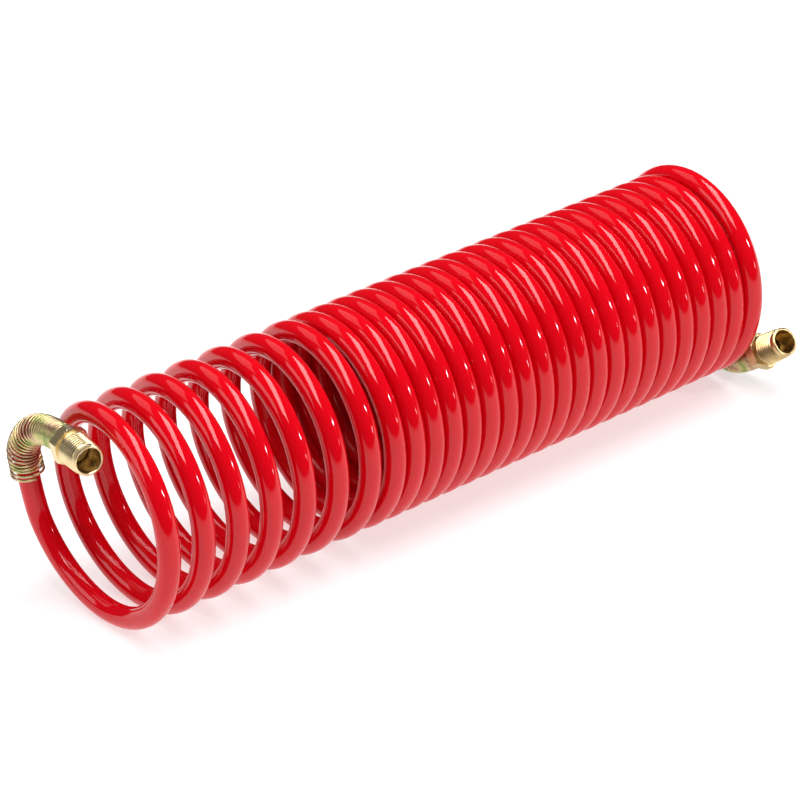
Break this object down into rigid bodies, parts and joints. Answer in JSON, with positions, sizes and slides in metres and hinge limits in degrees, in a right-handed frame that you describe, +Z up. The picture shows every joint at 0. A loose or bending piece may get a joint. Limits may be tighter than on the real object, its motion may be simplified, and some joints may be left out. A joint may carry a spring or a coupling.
{
  "type": "coiled air hose",
  "caption": "Springy coil of air hose on its side, each end with a wire bend guard and a swivelling threaded brass fitting.",
  "frame": {"origin": "on the floor under the middle of the whole object's bounding box", "axes": "+X along the coil from its open near end to its shut far end, +Z up, the near fitting points nearly along -Y"},
  "size_m": [0.3444, 0.1048, 0.0942],
  "materials": {
    "hose": "smooth glossy translucent-looking red nylon",
    "brass": "machined, lightly tarnished",
    "guard": "zinc plated wire with a yellow chromate sheen",
    "seal": "black rubber",
    "washer": "pale slippery plastic"
  },
  "bodies": {
    "far_coil": {"coil_turns_26_27": "hose", "coil_turn_28": "hose"},
    "near_coil": {"coil_turn_01": "hose"},
    "turn_02": {"coil_turn_02": "hose"},
    "turn_03": {"coil_turn_03": "hose"},
    "turn_04": {"coil_turn_04": "hose"},
    "turn_05": {"coil_turn_05": "hose"},
    "turn_06": {"coil_turn_06": "hose"},
    "turn_07": {"coil_turn_07": "hose"},
    "turns_08_10": {"coil_turns_08_10": "hose"},
    "turns_11_13": {"coil_turns_11_13": "hose"},
    "turns_14_16": {"coil_turns_14_16": "hose"},
    "turns_17_19": {"coil_turns_17_19": "hose"},
    "turns_20_22": {"coil_turns_20_22": "hose"},
    "turns_23_25": {"coil_turns_23_25": "hose"},
    "near_tail": {"near_tail_hose": "hose", "near_spring_guard": "guard", "near_barbed_stem": "brass", "near_thrust_washer": "washer"},
    "near_swivel": {"near_swivel_body": "brass", "near_o_ring": "seal"},
    "far_tail": {"far_tail_hose": "hose", "far_spring_guard": "guard", "far_barbed_stem": "brass", "far_thrust_washer": "washer"},
    "far_swivel": {"far_swivel_body": "brass", "far_o_ring": "seal"}
  },
  "joints": [
    {"name": "coil_stretch", "type": "slide", "parent": "far_coil", "child": "near_coil", "axis": [-1, 0, 0], "range_m": [0, 1.5], "stiffness_N_per_m": 11},
    {"name": "turn_02_stretch", "type": "slide", "parent": "far_coil", "child": "turn_02", "axis": [-1, 0, 0], "range_m": [0, 1.4975]},
    {"name": "turn_03_stretch", "type": "slide", "parent": "far_coil", "child": "turn_03", "axis": [-1, 0, 0], "range_m": [0, 1.4814]},
    {"name": "turn_04_stretch", "type": "slide", "parent": "far_coil", "child": "turn_04", "axis": [-1, 0, 0], "range_m": [0, 1.4525]},
    {"name": "turn_05_stretch", "type": "slide", "parent": "far_coil", "child": "turn_05", "axis": [-1, 0, 0], "range_m": [0, 1.412]},
    {"name": "turn_06_stretch", "type": "slide", "parent": "far_coil", "child": "turn_06", "axis": [-1, 0, 0], "range_m": [0, 1.3608]},
    {"name": "turn_07_stretch", "type": "slide", "parent": "far_coil", "child": "turn_07", "axis": [-1, 0, 0], "range_m": [0, 1.3006]},
    {"name": "turns_08_10_stretch", "type": "slide", "parent": "far_coil", "child": "turns_08_10", "axis": [-1, 0, 0], "range_m": [0, 1.1568]},
    {"name": "turns_11_13_stretch", "type": "slide", "parent": "far_coil", "child": "turns_11_13", "axis": [-1, 0, 0], "range_m": [0, 0.9021]},
    {"name": "turns_14_16_stretch", "type": "slide", "parent": "far_coil", "child": "turns_14_16", "axis": [-1, 0, 0], "range_m": [0, 0.6293]},
    {"name": "turns_17_19_stretch", "type": "slide", "parent": "far_coil", "child": "turns_17_19", "axis": [-1, 0, 0], "range_m": [0, 0.3709]},
    {"name": "turns_20_22_stretch", "type": "slide", "parent": "far_coil", "child": "turns_20_22", "axis": [-1, 0, 0], "range_m": [0, 0.1597]},
    {"name": "turns_23_25_stretch", "type": "slide", "parent": "far_coil", "child": "turns_23_25", "axis": [-1, 0, 0], "range_m": [0, 0.028]},
    {"name": "near_tail_turn", "type": "hinge", "parent": "near_coil", "child": "near_tail", "pos_m": [-0.16079, 0.04593, 0.04908], "axis": [0.083, -0.0332, -0.996], "range_deg": [0, 80], "stiffness_Nm_per_rad": 0.3},
    {"name": "near_swivel_spin", "type": "hinge", "parent": "near_tail", "child": "near_swivel", "pos_m": [-0.16349, 0.00933, 0.08059], "axis": [-0.1298, -0.9883, 0.0799], "continuous": true},
    {"name": "far_tail_turn", "type": "hinge", "parent": "far_coil", "child": "far_tail", "pos_m": [0.16154, 0.02023, 0.01069], "axis": [-0.0774, 0.9631, 0.2579], "range_deg": [0, 60], "stiffness_Nm_per_rad": 0.3},
    {"name": "far_swivel_spin", "type": "hinge", "parent": "far_tail", "child": "far_swivel", "pos_m": [0.16394, -0.03367, 0.01588], "axis": [0.0299, -0.7863, 0.6171], "continuous": true}
  ],
  "couplings": [
    {"joint": "turn_02_stretch", "follows": "coil_stretch", "ratio": 0.998},
    {"joint": "turn_03_stretch", "follows": "coil_stretch", "ratio": 0.9873},
    {"joint": "turn_04_stretch", "follows": "coil_stretch", "ratio": 0.968},
    {"joint": "turn_05_stretch", "follows": "coil_stretch", "ratio": 0.941},
    {"joint": "turn_06_stretch", "follows": "coil_stretch", "ratio": 0.9069},
    {"joint": "turn_07_stretch", "follows": "coil_stretch", "ratio": 0.8667},
    {"joint": "turns_08_10_stretch", "follows": "coil_stretch", "ratio": 0.7709},
    {"joint": "turns_11_13_stretch", "follows": "coil_stretch", "ratio": 0.6011},
    {"joint": "turns_14_16_stretch", "follows": "coil_stretch", "ratio": 0.4192},
    {"joint": "turns_17_19_stretch", "follows": "coil_stretch", "ratio": 0.2469},
    {"joint": "turns_20_22_stretch", "follows": "coil_stretch", "ratio": 0.1061},
    {"joint": "turns_23_25_stretch", "follows": "coil_stretch", "ratio": 0.0183}
  ]
}
